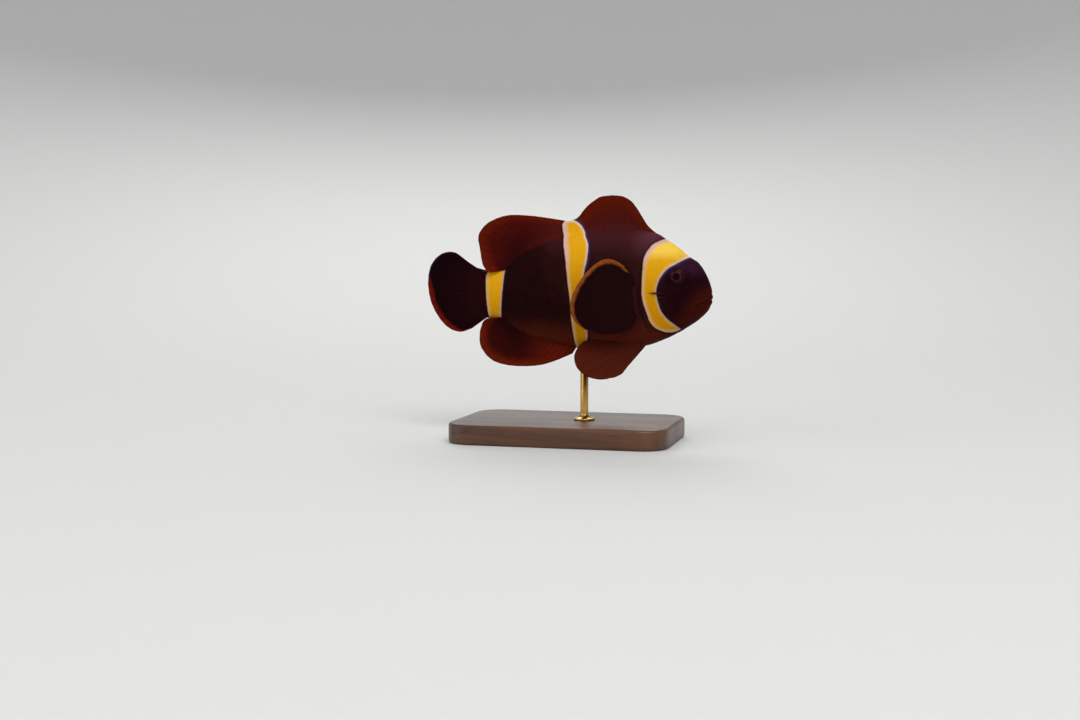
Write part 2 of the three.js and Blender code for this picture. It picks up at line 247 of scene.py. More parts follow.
def grooveRelief(x, z):
    depth = 0
    for groove in grooves:
        off = z - groove["z"] - groove["slope"] * (x - groove["x"])
        depth += groove["depth"] * bump(off, groove["width"]) * within(x, *groove["long"])
    return -depth


def mouthRelief(x, z):
    off = (z - mouth["z"] + (mouth["x"] - x) * mouth["slope"]) / math.hypot(1, mouth["slope"])
    parted = smooth(mouth["corner"] - 0.5, mouth["corner"] + 0.5, x)
    lips = sum(height * bump(off - at, width) for at, width, height in mouth["folds"])
    corner = mouth["cornerDepth"] * bump(math.hypot(x - mouth["corner"], off), mouth["cornerWidth"])
    return parted * lips - corner


def nostrilRelief(x, z):
    away = math.hypot(x - nostril["x"], z - nostril["z"])
    brim = nostril["brim"] * bump(away - nostril["brimAt"], nostril["brimWidth"])
    return brim - nostril["depth"] * (1 - smooth(0.1, nostril["radius"], away))


def relief(x, z, slope):
    # how far the skin stands above its plain form; slope is 1 on the flank and 0 on the back
    lift = 0
    away = math.hypot(x - gill["x"], z - gill["z"])
    if x < gill["front"]:
        lift += gillRelief(away, z) * slope
    if x > limb["long"][0]:
        lift += grooveRelief(x, z)
    if x > 37:
        lift += mouthRelief(x, z) + nostrilRelief(x, z)
    if 18 < x < 27:
        root = bump(x - paddle["x"], paddle["width"]) * (1 - smooth(*paddle["half"], abs(z - paddle["z"])))
        lift += paddle["lift"] * root * slope * (1 if away > gill["edge"] + 0.4 else paddle["hidden"])
    return lift


def bareness(x, z):
    # 1 where the head has no scales: the snout, the lips and round the eye
    return max(smooth(*bare["snout"], x), 1 - smooth(*bare["eye"], math.hypot(x - eye["x"], z - eye["z"])))


def socketDepth(r, plain):
    # round the eye the skin falls to a thin rim on the eyeball, and inside the rim it goes under it
    ball = eye["y"] + eye["flat"] * math.sqrt(eye["radius"] ** 2 - min(r, eye["opening"]) ** 2)
    rim = ball + eye["lidThick"]
    lid = rim + (plain - rim) * smooth(eye["opening"] + eye["rimWidth"], eye["lid"], r)
    return lid - eye["tuckDepth"] * (1 - smooth(eye["opening"] - eye["tuck"], eye["opening"], r))


def skinAt(x, turn):
    # a place on the skin and the way that it faces, from small steps along and round the plain form
    x = min(x, body["snout"] - 0.004)
    here = ringPoint(x, turn)
    ahead = ringPoint(x + 0.03, turn) if x < 39 else here
    along = ringPoint(x - 0.03, turn) - ahead
    around = ringPoint(x, turn + 0.004) - ringPoint(x, turn - 0.004)
    out = around.cross(along).normalized()
    raised = relief(x, here.z, smooth(0.1, 0.55, abs(out.y)))
    where = here + out * (raised - body["coat"])
    r = math.hypot(x - eye["x"], where.z - eye["z"])
    if r < eye["lid"]:
        where.y = math.copysign(socketDepth(r, abs(where.y)), where.y)
    return where, out


# ---- markings ----

# each band's rear and front edge, as [z, x] from top to bottom
bands = {
    "head": ([(17.5, 34), (15, 29.2), (13.9, 27), (13.1, 26), (10.6, 24.4), (7.6, 23.8), (3.6, 23.8),
              (-0.4, 23.8), (-3, 24.1), (-6.2, 25.1), (-9.1, 26.1), (-10.9, 27.6), (-11.8, 29.4),
              (-12.4, 31)],
             [(12, 40.6), (10.1, 37.5), (9.3, 35.7), (7.8, 33.1), (6.6, 31.1), (4.5, 29.35), (2.5, 28.4),
              (-0.1, 27.9), (-3.2, 28.4), (-5.9, 29.3), (-8, 30.8), (-9.8, 32.8), (-11.2, 34.4),
              (-12.4, 35.4)]),
    "middle": ([(22, 1.5), (21, -0.4), (20.2, -1.3), (19.2, -1.9), (14.7, -1), (8.8, 0.4), (3, 1.3),
                (-2.9, 2.1), (-8.8, 2.4), (-14.8, 2.8), (-18, 2.9)],
               [(22, -1.5), (21, 0.8), (20.3, 2.2), (19.7, 3.2), (18.8, 4.1), (17.7, 4.8), (16.2, 5.5),
                (13.3, 6.9), (8.9, 6.9), (4.5, 6.2), (-3, 6.3), (-11.1, 7), (-14.7, 6.7), (-16.6, 4.8),
                (-17.6, 2.8)]),
    "stalk": ([(9, -26.8), (5.6, -26.2), (-0.4, -25.7), (-8.9, -25.2), (-11, -25.1)],
              [(9, -19.1), (5.1, -19.5), (-0.3, -19.9), (-8.8, -20.9), (-11, -21.2)]),
}
bandEdges = {name: (through(rear), through(front)) for name, (rear, front) in bands.items()}
chin = {"x": 31.4, "z": -12.15, "bend": 0.11}  # the head's band ends at this curve, short of the throat
outside = (-9.0, 0, 0)  # what bandAt() says far from any band


def bandAt(x, z, names=tuple(bands)):
    # how far inside a band's nearest edge a place lies, below zero outside, and 1 at a front edge
    best = outside
    for name in names:
        inside = []
        for edge, sign in zip(bandEdges[name], (1, -1)):
            lean = (edge(z + 0.1) - edge(z - 0.1)) / 0.2
            inside.append((sign * (x - edge(z)) / math.hypot(1, lean), sign < 0, 0))
        if name == "head":
            past = max(x - chin["x"], 0)
            inside.append((z - chin["z"] - chin["bend"] * past ** 2, 0, 0))
        best = max(best, min(inside))
    return best


# ---- making pieces ----

notes = ("place", "grain", "band")  # what each point tells the materials


def gridOf(columns, rows, place, bm=None):
    # a grid whose points go where place(across, up) says, with their notes for the materials:
    # the place on the straight fish, three numbers more, and how they lie to a band
    if bm is None:
        bm = bmesh.new()
        for key in notes:
            bm.verts.layers.float_vector.new(key)
    layers = [bm.verts.layers.float_vector[key] for key in notes]
    made = bmesh.ops.create_grid(bm, x_segments=columns, y_segments=rows, size=0.5)
    for vert in made["verts"]:
        told = place(round(vert.co.x + 0.5, 6), round(vert.co.y + 0.5, 6))
        vert.co = posed(told[0])
        for layer, value in zip(layers, told):
            vert[layer] = value
    return bm


def dress(name, mesh, material, nodes, sharp=math.pi):
    mesh.shade_smooth()
    mesh.set_sharp_from_angle(angle=sharp)
    mesh.materials.append(material)
    piece = bpy.data.objects.new(name, mesh)
    bpy.context.scene.collection.objects.link(piece)
    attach(piece, "root")
    if nodes:
        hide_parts(*nodes)
    print(name, len(mesh.polygons), "faces")


def welded(name, bm, weld=1e-7):
    bmesh.ops.remove_doubles(bm, verts=bm.verts, dist=weld)
    bmesh.ops.recalc_face_normals(bm, faces=bm.faces)
    mesh = bpy.data.meshes.new(name)
    bm.to_mesh(mesh)
    bm.free()
    return mesh


def spun(profile, steps):
    # a profile of [radius, height] turned round an upright axis
    bm = bmesh.new()
    line = [bm.verts.new((radius, 0, height)) for radius, height in profile]
    edges = [bm.edges.new(pair) for pair in zip(line, line[1:])]
    bmesh.ops.spin(bm, geom=line + edges, cent=(0, 0, 0), axis=(0, 0, 1), angle=2 * math.pi, steps=steps,
                   use_merge=True)
    return bm


# ---- shader helpers ----

class Value:
    # wraps a socket, so that shader maths reads as Python
    def __init__(self, paint, socket):
        self.paint = paint
        self.socket = socket

    def maths(self, operation, *others, clamp=False):
        made = self.paint.node("ShaderNodeMath", {"operation": operation, "use_clamp": clamp},
                               dict(enumerate((self, *others))))
        return Value(self.paint, made.outputs[0])

    def __add__(self, other):
        return self.maths("ADD", other)

    def __sub__(self, other):
        return self.maths("SUBTRACT", other)

    def __rsub__(self, other):
        return (self * -1).maths("ADD", other)

    def __mul__(self, other):
        return self.maths("MULTIPLY", other)

    __radd__ = __add__
    __rmul__ = __mul__

    def step(self, low, high):
        # 0 below low, 1 above high and smooth between, or the other way round
        made = self.paint.node("ShaderNodeMapRange", {"interpolation_type": "SMOOTHSTEP"},
                               {0: self, 1: min(low, high), 2: max(low, high),
                                3: float(low > high), 4: float(low <= high)})
        return Value(self.paint, made.outputs[0])


class Paint:
    # one material and the nodes that it is made of
    def __init__(self, name, **constants):
        self.material = bpy.data.materials.new(name)
        self.material.use_nodes = True
        self.tree = self.material.node_tree
        self.shader = self.tree.nodes["Principled BSDF"]
        for key, value in constants.items():
            self.shader.inputs[key.replace("_", " ")].default_value = value

    def node(self, kind, settings=None, values=None):
        made = self.tree.nodes.new(kind)
        for key, value in (settings or {}).items():
            setattr(made, key, value)
        for key, value in (values or {}).items():
            socket = made.inputs[key]
            if isinstance(value, Value):
                self.tree.links.new(value.socket, socket)
            elif isinstance(value, bpy.types.NodeSocket):
                self.tree.links.new(value, socket)
            elif isinstance(value, str):
                socket.default_value = shade(value)
            else:
                socket.default_value = value
        return made

    def note(self, name, kind="Vector"):
        made = self.node("ShaderNodeAttribute", {"attribute_name": name})
        return made.outputs[kind]

    def parts(self, vector):
        made = self.node("ShaderNodeSeparateXYZ", {}, {0: vector})
        return [Value(self, socket) for socket in made.outputs]

    def mix(self, factor, first, second):
        made = self.node("ShaderNodeMix", {"data_type": "RGBA"}, {0: factor, 6: first, 7: second})
        return made.outputs[2]

    def stretched(self, vector, *scale):
        made = self.node("ShaderNodeMapping", {}, {"Vector": vector, "Scale": scale})
        return made.outputs[0]

    def noise(self, vector, scale, detail=3.0, roughness=0.55, distortion=0.0):
        made = self.node("ShaderNodeTexNoise", {}, {"Vector": vector, "Scale": scale, "Detail": detail,
                                                    "Roughness": roughness, "Distortion": distortion})
        return Value(self, made.outputs[0])

    def bumped(self, height, strength, distance):
        made = self.node("ShaderNodeBump", {},
                         {"Height": height, "Strength": strength, "Distance": distance})
        self.tree.links.new(made.outputs[0], self.shader.inputs["Normal"])

    def set(self, name, value):
        socket = value.socket if isinstance(value, Value) else value
        self.tree.links.new(socket, self.shader.inputs[name])


def shade(code):
    # a colour from its six hex digits
    levels = [int(code[i:i + 2], 16) / 255 for i in (0, 2, 4)]
    return [((v + 0.055) / 1.055) ** 2.4 if v > 0.04045 else v / 12.92 for v in levels] + [1.0]


coatColours = {
    "flank": "280e0f",
    "heart": "160405",  # the darker middle of the rear flank
    "stalkEnd": "1f0406",  # where the body passes into the tail fin
    "backSheen": "3e191d",  # the back, dusky maroon with painted sheen of light from above
    # the nape's paler mauve is painted sheen of light from above
    "nape": "552a36",
    "belly": "551e11",
    "snout": "360d09",
    "cheek": "17040a",
    "forehead": "2c1021",
    # the upper head's violet: partly its own maroon, partly painted rim light from above
    "band": "c68704",
    # the yellow higher up, paler with painted light from above
    "bandLitHigh": "db9f14",
    "bandTopHighlight": "f1c84e",  # painted highlight on the highest part of a band
    "edgeAhead": "b8997a",  # the pale edges of a band
    "edgeBehind": "c9a074",
    "edgeTop": "d2aca0",  # and their colours high up, behind and ahead
    "edgeBrow": "dac6b4",
    "lineAhead": "1c0a26",  # the dark lines outside them
    # the line ahead high up: its own dark violet brightened by a painted glint of rim light
    "lineTopGlint": "38285a",
    "lineBehind": "140706",
}


def bandOver(paint, ground, place, wobble=0.22):
    # lays the bands, with their pale edges and dark outlines, over a ground colour
    inside, ahead, _ = paint.parts(paint.note("band"))
    x, _, z = paint.parts(place)
    ragged = inside + (paint.noise(place, 0.9) - 0.5) * wobble
    # the yellow is paler higher up with painted light from above, and brightest at the crown with a painted
    # highlight; its pale edges are wider higher up
    height = z + (x * 0.1).maths("MAXIMUM", x * -0.42) + (paint.noise(place, 0.12, 2.0) - 0.5) * 5
    high = z.step(3, 12)
    crown = z.step(8, 12) * x.step(12, 20)
    yellow = paint.mix(height.step(-3, 13), coatColours["band"], coatColours["bandLitHigh"])
    yellow = paint.mix(crown, yellow, coatColours["bandTopHighlight"])
    pale = paint.mix(ahead, coatColours["edgeBehind"], coatColours["edgeAhead"])
    pale = paint.mix(high, pale, paint.mix(ahead, coatColours["edgeTop"], coatColours["edgeBrow"]))
    deep = ragged * (1 - high * (1 - ahead) * 0.4) + ahead * 0.3
    marked = paint.mix(deep.step(0.3, 1.25), pale, yellow)
    # the dark line ahead turns brighter violet higher up: painted glint of rim light from above
    outlineGlint = paint.mix((z + x * 0.1).step(4, 9), coatColours["lineAhead"], coatColours["lineTopGlint"])
    line = paint.mix(ahead, coatColours["lineBehind"], outlineGlint)
    rim = paint.mix(ragged.step(-0.9, -0.3) * (ahead * 0.3 + 0.5), ground, line)
    return paint.mix(ragged.step(-0.2, 0.22), rim, marked)


def coatGround(paint, place):
    x, _, z = paint.parts(place)
    mottle = paint.noise(place, 0.16, 4.0)
    low = (z + mottle * 3 - (x - 8).maths("MAXIMUM", 0.0) * 0.06).step(-5, -15.5)
    # back and nape turn paler mauve higher up: painted sheen of light from above over the back's own maroon
    back = (z + mottle * 4 + x * 0.1).step(11, 20.5)
    paintedSheen = paint.mix(x.step(18, 26), coatColours["backSheen"], coatColours["nape"])
    heart = (x * 0.1 + z * 0.05 + mottle * 2).step(1.6, 0.2)
    ground = paint.mix(heart, coatColours["flank"], coatColours["heart"])
    ground = paint.mix(back, ground, paintedSheen)
    ground = paint.mix(low, ground, coatColours["belly"])
    ground = paint.mix(x.step(-24, -27), ground, coatColours["stalkEnd"])
    head = x.step(27, 32)
    # the face is lighter violet higher up: partly its own colour, partly painted rim light from above
    face = paint.mix((z + mottle * 2).step(3.5, 8), coatColours["cheek"], coatColours["forehead"])
    nose = (x * 0.6 - z * 0.55 + mottle * 3).step(23.5, 28)
    face = paint.mix(nose, face, coatColours["snout"])
    return paint.mix(head, ground, face)


warm = (1.0, 0.55, 0.5, 1.0)  # tints the gloss of skin and fins


def skinPaint():
    paint = Paint("clownfishSkin", Specular_IOR_Level=0.03, Specular_Tint=warm)
    place = paint.note("place")
    paint.set("Base Color", bandOver(paint, coatGround(paint, place), place))
    pores = paint.noise(place, 5.0, 3.0)
    folds = paint.noise(place, 1.4, 2.0)
    paint.bumped(pores * 0.6 + folds, 0.35, 0.00012)
    paint.set("Roughness", pores * 0.2 + 0.44)
    return paint.material


def scalePaint():
    # grain is the place on one scale: across it, along it from root to edge, and a number of its own
    paint = Paint("clownfishScales", Specular_IOR_Level=0.03, Specular_Tint=warm)
    place = paint.note("place")
    across, along, own = paint.parts(paint.note("grain"))
    # each scale darkens towards its rear edge: painted shade where it overlaps the next scale
    ground = paint.mix(along.step(0.7, 1.0) * 0.3, coatGround(paint, place), "120405")
    colour = bandOver(paint, ground, place)
    colour = paint.mix(own * 0.05, colour, "5a2216")
    paint.set("Base Color", colour)
    ribs = (across * 26).maths("SINE")
    paint.bumped(ribs * along, 0.15, 0.00003)
    paint.set("Roughness", own * 0.16 + 0.44)
    return paint.material


skinLook = skinPaint()
scaleLook = scalePaint()

# ---- the skin ----

skinMesh = {"stations": 250, "round": 320, "noseShare": 0.13, "headShare": 0.44, "headEnd": 21.5}


def stationAt(share):
    # x along the body: rings are evenly spaced over the round nose, close on the head and wider behind
    nose, head = skinMesh["noseShare"], skinMesh["headShare"]
    if share <= nose:
        return body["snout"] - body["noseRounding"] * (1 - math.cos(share / nose * math.pi / 2))
    if share <= nose + head:
        return body["noseEnd"] + (share - nose) / head * (skinMesh["headEnd"] - body["noseEnd"])
    t = (share - nose - head) / (1 - nose - head)
    return skinMesh["headEnd"] + t * (body["stalkEnd"] - skinMesh["headEnd"])


def skinPlace(across, up):
    x = stationAt(1 - across)
    turn = 0 if up == 1 else up * 2 * math.pi
    if across == 1:
        where = Vector((body["snout"] - body["coat"], 0, body["snoutHeight"]))
    elif across == 0:
        where = Vector((body["stalkEnd"] - 0.1, 0, ringPoint(x, turn).z))
    else:
        where = skinAt(x, turn)[0]
    return where, (0, 0, 0), bandAt(where.x, where.z)


skinGrid = gridOf(skinMesh["stations"], skinMesh["round"], skinPlace)
dress("skin", welded("skin", skinGrid, 2e-6), skinLook,
      ["head", "gill_cover_right", "gill_cover_left", "trunk", "tail_stalk"])

# ---- the scales ----

scale = {
    "rows": 37,  # down each side, from the back to the belly
    "step": 0.74,  # from one column to the next, as a share of the distance between rows
    "length": 1.5,  # one scale, as a share of the same
    "width": 1.18,
    "sink": -0.05,  # height of its root over the skin, in millimetres
    "rise": 0.15,  # from its root to its rear edge
    "dome": 0.03,
    "thick": 0.04,
    "under": 0.03,  # its underside lies this much deeper
    "lateral": 9,  # the row that carries the lateral line, and the x where the line begins
    "lateralFrom": 22,
    "front": 36.0,  # no scales on the snout, before this x
    "rear": -29.4,
    "headPitch": 0.78,  # distance between the scales on cheeks and gill covers
    "arcSpread": 2.4,  # angle that their arcs span
    "patch": 0.003,  # size of one scale on the map, which holds this stretch of x
    "mapRear": -31,
    "mapLength": 76,
    "seed": 11,
}


def scaleShape():
    # a thin lens on a small grid, folded over at its rear edge: across, along, and up or down
    bm = bmesh.new()
    bmesh.ops.create_grid(bm, x_segments=4, y_segments=6, size=1)
    for vert in bm.verts:
        s, fold = vert.co.x, round(vert.co.y * 3)
        rim = abs(s) > 0.9 or fold in (-3, 0, 3)
        vert.co = (s, 1 - abs(fold) / 3, 0 if rim else math.copysign(1, -fold))
    bmesh.ops.remove_doubles(bm, verts=bm.verts, dist=1e-4)
    bmesh.ops.recalc_face_normals(bm, faces=bm.faces)
    points = [tuple(round(c, 4) for c in vert.co) for vert in bm.verts]
    faces = [[vert.index for vert in face.verts] for face in bm.faces]
    bm.free()
    return points, faces


def rowsAt(x, sign):
    # the turn at each share of the way down one flank at x, and the distance between rows there
    steps = 60
    turns = [math.pi / 2 + sign * math.pi * i / steps for i in range(steps + 1)]
    find, length = measured([ringPoint(x, turn) for turn in turns])

    def turnOf(share):
        i, part = find(share)
        return turns[i] + (turns[i + 1] - turns[i]) * part
    return turnOf, length / scale["rows"]


# where smaller scales stand in arcs, on gill cover and cheek: rear and front radius, lowest and highest z
coverArcs = [(gill["edge"] - 0.15, gill["cheek"] + 0.2, -11.6, 8.0), (gill["cheek"] - 0.15, 9.6, -9.6, 4.8)]


def onCover(x, z):
    # where the body's scales leave off: on gill covers and their slits, cheeks and the pectoral fins' roots
    away = math.hypot(x - gill["x"], z - gill["z"])
    cover = gill["cheek"] < away < gill["edge"] + 1.0 and -12.2 < z < 8.6
    cheek = 9.5 < away <= gill["cheek"] and -10.2 < z < 5.2
    root = abs(x - paddle["x"]) < 2 and abs(z - paddle["z"]) < 5.6
    return cover or cheek or root


def bodyScales(sign):
    # the scales on trunk, nape, throat and stalk: the distance between rows, whether the lateral line
    # runs through, and where a place on the scale lies, from millimetres across and along it
    x, column = scale["front"], 0
    while x > scale["rear"]:
        turnOf, pitch = rowsAt(x, sign)
        for row in range(scale["rows"] + column % 2):
            turn = turnOf(min((row + 0.5 * (1 - column % 2)) / scale["rows"], 1))
            root = ringPoint(x, turn)
            if bareness(x, root.z) > 0.5 or onCover(x - pitch / 2, root.z):
                continue
            perTurn = (ringPoint(x, turn + 0.01) - ringPoint(x, turn - 0.01)).length / 0.02

            def spot(across, along, x=x, turn=turn, perTurn=perTurn):
                return x - along, turn + across / perTurn
            yield pitch, row == scale["lateral"] and x < scale["lateralFrom"], spot
        x -= pitch * scale["step"]
        column += 1


def coverScales(sign):
    # the same for the smaller scales on gill cover and cheek
    pitch, spread = scale["headPitch"], scale["arcSpread"]
    for rear, front, low, high in coverArcs:
        radius, column = rear - pitch * scale["length"], 0
        while radius > front - pitch * 0.6:
            count = int(radius * spread / pitch)
            for i in range(count):
                angle = math.pi - spread / 2 + spread * (i + 0.5 * (column % 2)) / count
                dx, dz = math.cos(angle), math.sin(angle)
                x, z = gill["x"] + radius * dx, gill["z"] + radius * dz
                if not low < z < high or bareness(x, z) > 0.4:
                    continue

                def spot(across, along, x=x, z=z, dx=dx, dz=dz):
                    up = -sign * across
                    placeX, placeZ = x + dx * along + dz * up, z + dz * along - dx * up
                    return placeX, turnAt(placeX, placeZ, sign)
                yield pitch, False, spot
            radius -= pitch * scale["step"]
            column += 1


def scalesOf(name, sign):
    points, faces = scaleShape()
    draw = random.Random(scale["seed"] + sign)
    verts, places, grains, insides, uvs, polygons = [], [], [], [], [], []
    for pitch, tube, spot in (*bodyScales(sign), *coverScales(sign)):
        own = draw.random()
        rootX, rootTurn = spot(0, 0)
        feet = {}
        first = len(verts)
        for s, t, h in points:
            if (s, t) not in feet:
                narrow = 0.6 + 0.4 * math.sin(min(t / 0.6, 1) * math.pi / 2)  # at its root
                along = t * (0.5 + 0.5 * math.sqrt(1 - 0.93 * s * s)) * pitch * scale["length"]
                feet[s, t] = skinAt(*spot(s * narrow * pitch * scale["width"] / 2, along))
            where, out = feet[s, t]
            crown = (1 - s * s) * math.sin(math.pi * t) * (2.2 if tube and s == 0 else 1)
            lift = scale["sink"] + scale["rise"] * t * (0.85 + 0.3 * own) + scale["dome"] * crown
            where = where + out * (lift + h * scale["thick"] / 2 - (scale["under"] if h < 0 else 0))
            verts.append(posed(where))
            places.extend(where)
            grains.extend((s, t, own))
            insides.extend(bandAt(where.x, where.z))
            uvs.append((rootTurn / (2 * math.pi) % 1 + scale["patch"] * s / 2,
                        (rootX - scale["mapRear"]) / scale["mapLength"] + scale["patch"] * (t - 0.5)))
        polygons.extend([first + i for i in face] for face in faces)
    mesh = bpy.data.meshes.new(name)
    mesh.from_pydata(verts, [], polygons)
    for key, values in zip(notes, (places, grains, insides)):
        mesh.attributes.new(key, "FLOAT_VECTOR", "POINT").data.foreach_set("vector", values)
    uvMap = mesh.uv_layers.new(name="OFBake")
    uvMap.data.foreach_set("uv", [c for loop in mesh.loops for c in uvs[loop.vertex_index]])
    dress(name, mesh, scaleLook, [], sharp=math.radians(70))


for side, sign in sides.items():
    scalesOf("scales" + side.title(), sign)

# ---- the fins ----


def lineThrough(marks, steps=40):
    # a smooth line through landmarks, as a place for each share of its length
    points = [Vector(mark) for mark in marks]
    points = [2 * points[0] - points[1], *points, 2 * points[-1] - points[-2]]
    dots = [points[1]]
    for a, b, c, d in zip(points, points[1:], points[2:], points[3:]):
        ab, bc, cd = (math.sqrt((q - p).length) for p, q in ((a, b), (b, c), (c, d)))
        leave = ((b - a) / ab - (c - a) / (ab + bc) + (c - b) / bc) * bc
        arrive = ((c - b) / bc - (d - b) / (bc + cd) + (d - c) / cd) * bc
        for i in range(1, steps + 1):
            t = i / steps
            dots.append(b + leave * t + (3 * (c - b) - 2 * leave - arrive) * t ** 2
                        + (2 * (b - c) + leave + arrive) * t ** 3)
    find, _ = measured(dots)

    def at(share):
        i, part = find(share)
        return dots[i].lerp(dots[i + 1], part)
    return at


def rayRidge(phase, reach, spiny):
    # the height of the rays over the membrane, 0 to 1: a spine tapers and a soft ray forks twice
    off = phase % 1 - 0.5
    if spiny:
        return bump(off, 0.16 - 0.09 * reach)
    first, second = 0.15 * smooth(0.22, 0.62, reach), 0.075 * smooth(0.58, 0.92, reach)
    return max(bump(off - a * first - b * second, 0.09 - 0.035 * reach) for a in (-1, 1) for b in (-1, 1))


finForm = {
    "sheet": 0.1,  # half the membrane's thickness at the margin, in millimetres
    "sheetRoot": 0.12,  # and how much more it is at the root
    "ray": 0.1,  # height of the rays at the root
    "rayTip": 0.035,
    "rayNotch": 0.003,  # how far the margin falls back between them, as a share of the fin's reach
    "spine": 0.26,  # height of the spines at the root
    "spineTaper": 0.75,
    "brink": 0.3,  # the first and last ray are rounded off over this share of a ray
}


def finPiece(name, node, look, fin, onFin, standing):
    # onFin(share, reach) gives a place in the fin's own plane, standing(place, off) one on the fish
    spines = fin.get("spines", 0)
    rays = fin["rays"]

    def place(across, up):
        side, reach = (1, 2 * up) if up <= 0.5 else (-1, 2 - 2 * up)
        phase = across * rays
        spiny = phase < spines
        ridge = rayRidge(phase, reach, spiny)
        between = 0 if phase > rays - 0.5 else 1 - bump(phase % 1 - 0.5, 0.2)
        notch = fin["notch"] if spiny else finForm["rayNotch"]
        flat = onFin(across, reach * (1 - between * notch))
        height = finForm["ray"] + (finForm["rayTip"] - finForm["ray"]) * reach
        if spiny:
            height = finForm["spine"] * (1 - finForm["spineTaper"] * reach)
        half = (finForm["sheet"] + finForm["sheetRoot"] * (1 - reach) + ridge * height
                + fin["flare"] * math.exp(-(reach / fin["flareReach"]) ** 2))
        brink = min(phase / finForm["brink"], (rays - phase) / finForm["brink"], 1)
        half *= math.sqrt(1 - (1 - brink) ** 2) if 0 < reach < 1 else 0
        # the fin ripples more towards its margin, and a lean takes its rear end aside
        wave = fin["wave"] * math.sin(2 * math.pi * (across * fin["waves"] + 0.2)) * reach ** 1.6
        aside = fin.get("lean", 0) * smooth(fin.get("leanFrom", 0.8), 1, across) * (0.55 + 0.45 * reach)
        toTip = (onFin(across, 1) - flat).length
        # near the root the coloured edge leaves the fin's sides
        toSide = min((flat - onFin(end, reach)).length for end in (0, 1)) + 6 * smooth(0.7, 0.4, reach)
        where = standing(flat, side * half + wave - aside)
        band = min(bandAt(where.x, where.z, fin["bands"]), (toTip, 1, 0)) if "bands" in fin else outside
        return where, (ridge, reach, min(toTip, toSide) / fin["edge"](across)), band

    dress(name, welded(name, gridOf(rays * fin["perRay"], 2 * fin["steps"], place)), look, [node])


def medianFin(name, node, look, fin):
    rootLine, marginLine = lineThrough(fin["root"]), lineThrough(fin["margin"])
    ends = lru_cache(maxsize=None)(lambda share: (rootLine(share), marginLine(share)))

    def onFin(share, reach):
        start, end = ends(share)
        bow = fin["bow"] * math.sin(math.pi * reach) * math.sin(math.pi * share)
        return start.lerp(end, reach) + Vector((bow, 0))

    finPiece(name, node, look, fin, onFin, lambda flat, off: Vector((flat.x, off, flat.y)))


def pairedFin(name, node, look, fin, standing):
    arc = fin["arc"]

    def onFin(share, reach):
        start = Vector(fin["root"][0]).lerp(Vector(fin["root"][1]), share)
        turn = math.radians(arc["start"] + (arc["end"] - arc["start"]) * share)
        egg = 1 - arc["egg"] * math.sin(turn)  # the lower half reaches further back than the upper
        spoke = Vector((arc["radii"][0] * egg * math.cos(turn), arc["radii"][1] * math.sin(turn)))
        return start.lerp(Matrix.Rotation(arc["tilt"], 2) @ spoke + Vector(arc["middle"]), reach)

    finPiece(name, node, look, fin, onFin, standing)


def finPaint(name, heart, flesh, edge, softness, rayShade=0.25, line=0.0, front=None, base=None, top=None):
    # a fin's colours from its heart to its edge, and at its front, its base and the top of its edge
    # where those differ; grain is ray, reach from root to margin, and depth in the edge
    paint = Paint(name, Specular_IOR_Level=0.03, Specular_Tint=warm)
    place = paint.note("place")
    ray, reach, rim = paint.parts(paint.note("grain"))
    x, _, z = paint.parts(place)
    mottle = paint.noise(place, 0.35, 3.0)
    colour = paint.mix((reach + mottle * 0.5).step(0.35, 1.15), heart, flesh)
    if front:
        colour = paint.mix((x + mottle * 4).step(-15, 1), colour, front)
    if base:
        colour = paint.mix((reach + mottle * 0.2).step(0.55, 0.1) * 0.85, colour, base)
    if top:
        edge = paint.mix(z.step(0, 5), edge, top)
    depth = rim + (mottle - 0.5) * 0.7
    colour = paint.mix(depth.step(2.2, 1.2) * line, colour, "0a0204")
    colour = paint.mix(depth.step(1 + softness, 1 - softness), colour, edge)
    fine = paint.noise(place, 3.5, 3.0)
    colour = paint.mix(ray * rayShade, colour, "0a0304")
    colour = paint.mix(fine * 0.2, colour, flesh)
    paint.set("Base Color", bandOver(paint, colour, place))
    paint.set("Roughness", fine * 0.2 + 0.42)
    joints = (reach * 150).maths("SINE") * ray
    paint.bumped(joints * 0.25 + fine, 0.25, 0.00008)
    return paint.material


spinyLook = finPaint("spinyDorsalFin", "45110d", "4a110a", "541404", 0.6, rayShade=0.1, base="3f1718")
softLook = finPaint("softDorsalFin", "280306", "480c06", "5e1505", 0.7, front="4a150f")
analLook = finPaint("analFin", "1d0304", "360805", "6a1c07", 0.8, front="6a1b0e")
tailLook = finPaint("tailFin", coatColours["stalkEnd"], "110106", "6c1205", 0.4, top="2f0f1c")
pectoralLook = finPaint("pectoralFin", "1b0709", "190608", "8e481a", 0.5, line=0.6)
pelvicLook = finPaint("pelvicFin", "3d130b", "47170a", "4c190b", 0.5, rayShade=0.12)

rootSink = 1.2  # how far the root of a median fin lies below the body's surface


def onBack(x):
    middle, up, _, _ = section(x)
    return x, middle + up - rootSink


def underBelly(x):
    middle, _, down, _ = section(x)
    return x, middle - down + rootSink


